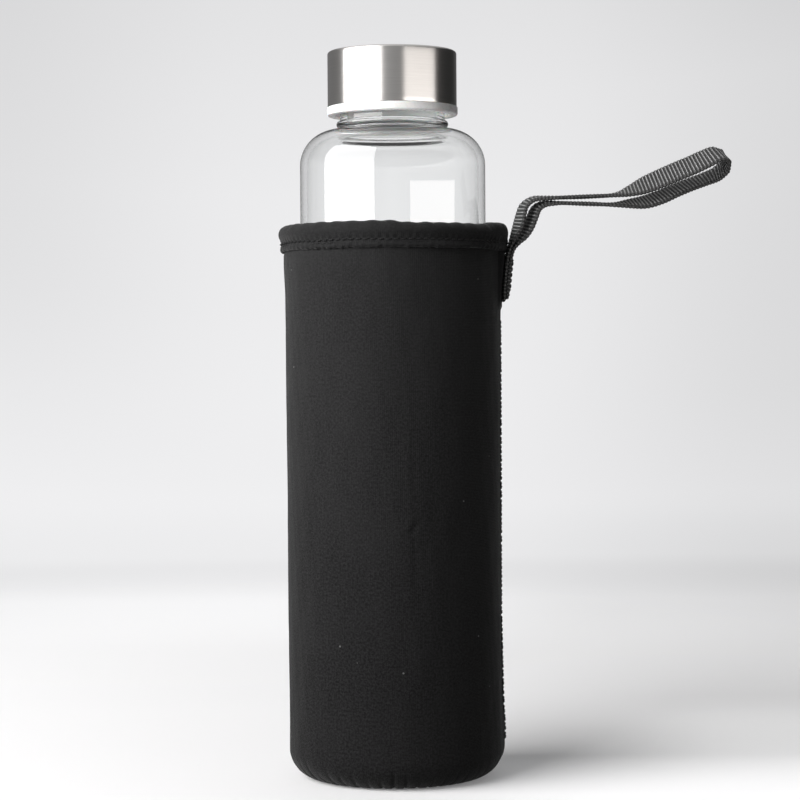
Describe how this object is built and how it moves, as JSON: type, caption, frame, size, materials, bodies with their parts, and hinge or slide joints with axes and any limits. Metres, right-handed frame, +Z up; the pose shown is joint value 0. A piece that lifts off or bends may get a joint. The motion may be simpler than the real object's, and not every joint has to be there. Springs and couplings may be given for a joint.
{
  "type": "water bottle",
  "caption": "Clear glass drinking bottle with a brushed steel screw cap, in a black foam-backed sleeve with a webbing wrist strap.",
  "frame": {"origin": "on the bottle's axis, on the plane that the sleeve's base rests on", "axes": "+Z up along the bottle's axis, +X towards the side seam and the wrist strap, -Y towards the viewer of the pictured side"},
  "size_m": [0.1524, 0.0768, 0.2424],
  "materials": {
    "clear_glass": "clear, glossy",
    "brushed_steel": "fine brushing round the cap",
    "white_plastic": "smooth",
    "silicone": "soft, matte",
    "black_cloth": "matte knit over foam",
    "black_thread": "matte",
    "black_webbing": "ribbed weave"
  },
  "bodies": {
    "sleeve": {"sleeve_wall": "black_cloth", "sleeve_hem": "black_cloth", "sleeve_base": "black_cloth", "side_seam_thread": "black_thread", "hem_thread": "black_thread", "base_seam_thread": "black_thread", "strap_tail": "black_webbing", "strap_tack_thread": "black_thread"},
    "strap": {"strap_loop": "black_webbing"},
    "bottle": {"glass_bottle": "clear_glass"},
    "seal": {"cap_seal": "silicone"},
    "cap": {"cap_shell": "brushed_steel", "cap_liner": "white_plastic"}
  },
  "joints": [
    {"name": "strap_swing", "type": "hinge", "parent": "sleeve", "child": "strap", "pos_m": [0.041, 0, 0.1786], "axis": [0, 1, 0], "range_deg": [-20, 90]},
    {"name": "bottle_slide", "type": "slide", "parent": "sleeve", "child": "bottle", "axis": [0, 0, 1], "range_m": [0, 0.19]},
    {"name": "cap_rise", "type": "slide", "parent": "bottle", "child": "seal", "axis": [0, 0, 1], "range_m": [0, 0.02]},
    {"name": "cap_turn", "type": "hinge", "parent": "seal", "child": "cap", "pos_m": [0, 0, 0.23], "axis": [0, 0, 1], "range_deg": [0, 1800]}
  ],
  "couplings": [
    {"joint": "cap_rise", "follows": "cap_turn", "m_per_rad": 0.00063662}
  ]
}
